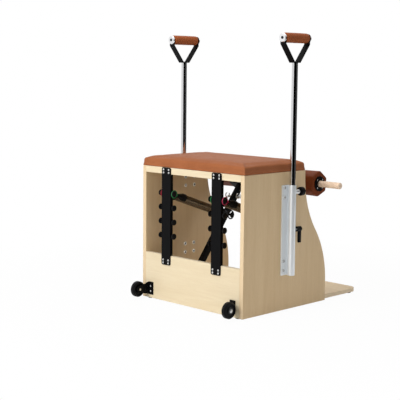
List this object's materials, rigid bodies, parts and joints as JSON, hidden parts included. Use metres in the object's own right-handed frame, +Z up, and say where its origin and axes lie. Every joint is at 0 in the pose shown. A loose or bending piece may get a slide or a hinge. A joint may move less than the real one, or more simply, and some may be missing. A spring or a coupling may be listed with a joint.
{
  "type": "pilates chair",
  "caption": "Plywood pilates chair with a padded leather seat, sprung foot pedals joined by a dowel, sliding side handles and transport wheels.",
  "frame": {"origin": "on the floor, under the middle of the whole chair's box", "axes": "+Z up; -Y to the front, where the pedals are; +Y to the open back; -X to the user's right hand"},
  "size_m": [0.812, 0.887, 1.1676],
  "materials": {
    "plywood": "clear satin lacquer over pale maple",
    "seat_leather": "soft cognac leather",
    "pad_leather": "cognac leather",
    "grip_leather": "dark red-brown leather",
    "foot_rubber": "matte black",
    "black_paint": "black powder coat",
    "zinc_steel": "zinc plated",
    "black_steel": "black",
    "spring_steel": "dark bright wire",
    "eye_red": "gloss red coat",
    "eye_green": "gloss green coat",
    "cap_plastic": "black moulded",
    "bush_plastic": "dark bearing plastic",
    "beech": "oiled beech",
    "satin_aluminium": "satin anodised",
    "pole_chrome": "polished",
    "knob_plastic": "black moulded",
    "wheel_rubber": "black"
  },
  "bodies": {
    "case": {"side_panel_left": "plywood", "side_panel_right": "plywood", "back_panel": "plywood", "top_rail": "plywood", "seat_board": "plywood", "base_board": "plywood", "seat_cushion": "seat_leather", "rubber_feet": "foot_rubber", "spring_bar_left": "black_paint", "spring_bar_right": "black_paint", "bar_screws": "zinc_steel", "spring_pegs": "black_steel", "pivot_shaft": "zinc_steel", "pivot_flanges": "zinc_steel", "shaft_collars": "zinc_steel", "handle_rail_left": "satin_aluminium", "handle_rail_right": "satin_aluminium", "rail_bolts": "zinc_steel", "rail_nuts": "zinc_steel", "pole_bushes": "bush_plastic", "plunger_housings": "zinc_steel", "wheel_brackets": "black_paint", "wheel_axles": "zinc_steel"},
    "dowel": {"pedal_dowel": "beech"},
    "pedal_left": {"pedal_arm_left": "black_paint", "pedal_bushes_left": "bush_plastic", "pedal_pad_left": "pad_leather", "dowel_sleeve_left": "black_paint", "spring_pin_left": "black_steel", "hook_rod_left": "zinc_steel"},
    "spring_link_left": {"springs_left": "spring_steel", "spring_eye_left_outer": "eye_red", "spring_eye_left_inner": "eye_green", "spring_rear_caps_left": "cap_plastic"},
    "spring_end_left": {"spring_front_caps_left": "cap_plastic"},
    "handle_left": {"handle_pole_left": "pole_chrome", "handle_fork_left": "black_paint", "handle_grip_left": "grip_leather", "grip_caps_left": "satin_aluminium"},
    "plunger_left": {"plunger_knob_left": "knob_plastic"},
    "lever_left": {"clamp_lever_left": "knob_plastic"},
    "wheel_left_body": {"wheel_left": "wheel_rubber"},
    "pedal_right": {"pedal_arm_right": "black_paint", "pedal_bushes_right": "bush_plastic", "pedal_pad_right": "pad_leather", "dowel_sleeve_right": "black_paint", "spring_pin_right": "black_steel", "hook_rod_right": "zinc_steel"},
    "spring_link_right": {"springs_right": "spring_steel", "spring_eye_right_outer": "eye_red", "spring_eye_right_inner": "eye_green", "spring_rear_caps_right": "cap_plastic"},
    "spring_end_right": {"spring_front_caps_right": "cap_plastic"},
    "handle_right": {"handle_pole_right": "pole_chrome", "handle_fork_right": "black_paint", "handle_grip_right": "grip_leather", "grip_caps_right": "satin_aluminium"},
    "plunger_right": {"plunger_knob_right": "knob_plastic"},
    "lever_right": {"clamp_lever_right": "knob_plastic"},
    "wheel_right_body": {"wheel_right": "wheel_rubber"}
  },
  "joints": [
    {"name": "pedal_left_press", "type": "hinge", "parent": "case", "child": "pedal_left", "pos_m": [0.1515, 0.2045, 0.066], "axis": [1, 0, 0], "range_deg": [0, 48], "stiffness_Nm_per_rad": 60, "springref_deg": -25.78},
    {"name": "spring_left_swing", "type": "hinge", "parent": "case", "child": "spring_link_left", "pos_m": [0.1515, 0.3493, 0.4805], "axis": [1, 0, 0], "range_deg": [0, 19]},
    {"name": "spring_left_stretch", "type": "slide", "parent": "spring_link_left", "child": "spring_end_left", "axis": [0, -0.9465, -0.3228], "range_m": [0, 0.26], "deforming": ["springs_left"]},
    {"name": "handle_left_height", "type": "slide", "parent": "case", "child": "handle_left", "axis": [0, 0, 1], "range_m": [-0.15, 0.15]},
    {"name": "plunger_left_pull", "type": "slide", "parent": "case", "child": "plunger_left", "axis": [0, -1, 0], "range_m": [0, 0.008], "stiffness_N_per_m": 400, "springref_m": -0.012},
    {"name": "lever_left_turn", "type": "hinge", "parent": "case", "child": "lever_left", "pos_m": [0.329, 0.04275, 0.349], "axis": [0, -1, 0], "range_deg": [-10, 100]},
    {"name": "wheel_left_spin", "type": "hinge", "parent": "case", "child": "wheel_left_body", "pos_m": [0.278, 0.409, 0.0465], "axis": [1, 0, 0], "continuous": true},
    {"name": "pedal_right_press", "type": "hinge", "parent": "case", "child": "pedal_right", "pos_m": [-0.1515, 0.2045, 0.066], "axis": [1, 0, 0], "range_deg": [0, 48], "stiffness_Nm_per_rad": 60, "springref_deg": -25.78},
    {"name": "spring_right_swing", "type": "hinge", "parent": "case", "child": "spring_link_right", "pos_m": [-0.1515, 0.3493, 0.4805], "axis": [1, 0, 0], "range_deg": [0, 19]},
    {"name": "spring_right_stretch", "type": "slide", "parent": "spring_link_right", "child": "spring_end_right", "axis": [0, -0.9465, -0.3228], "range_m": [0, 0.26], "deforming": ["springs_right"]},
    {"name": "handle_right_height", "type": "slide", "parent": "case", "child": "handle_right", "axis": [0, 0, 1], "range_m": [-0.15, 0.15]},
    {"name": "plunger_right_pull", "type": "slide", "parent": "case", "child": "plunger_right", "axis": [0, -1, 0], "range_m": [0, 0.008], "stiffness_N_per_m": 400, "springref_m": -0.012},
    {"name": "lever_right_turn", "type": "hinge", "parent": "case", "child": "lever_right", "pos_m": [-0.329, 0.04275, 0.349], "axis": [0, 1, 0], "range_deg": [-10, 100]},
    {"name": "wheel_right_spin", "type": "hinge", "parent": "case", "child": "wheel_right_body", "pos_m": [-0.278, 0.409, 0.0465], "axis": [1, 0, 0], "continuous": true},
    {"name": "dowel_slide", "type": "slide", "parent": "pedal_right", "child": "dowel", "axis": [-1, 0, 0], "range_m": [0, 0.3]}
  ],
  "couplings": [
    {"joint": "pedal_right_press", "follows": "pedal_left_press", "ratio": 1},
    {"joint": "spring_left_swing", "follows": "pedal_left_press", "ratio": 0.3735},
    {"joint": "spring_left_stretch", "follows": "pedal_left_press", "m_per_rad": 0.309},
    {"joint": "spring_right_swing", "follows": "pedal_left_press", "ratio": 0.3735},
    {"joint": "spring_right_stretch", "follows": "pedal_left_press", "m_per_rad": 0.309}
  ]
}
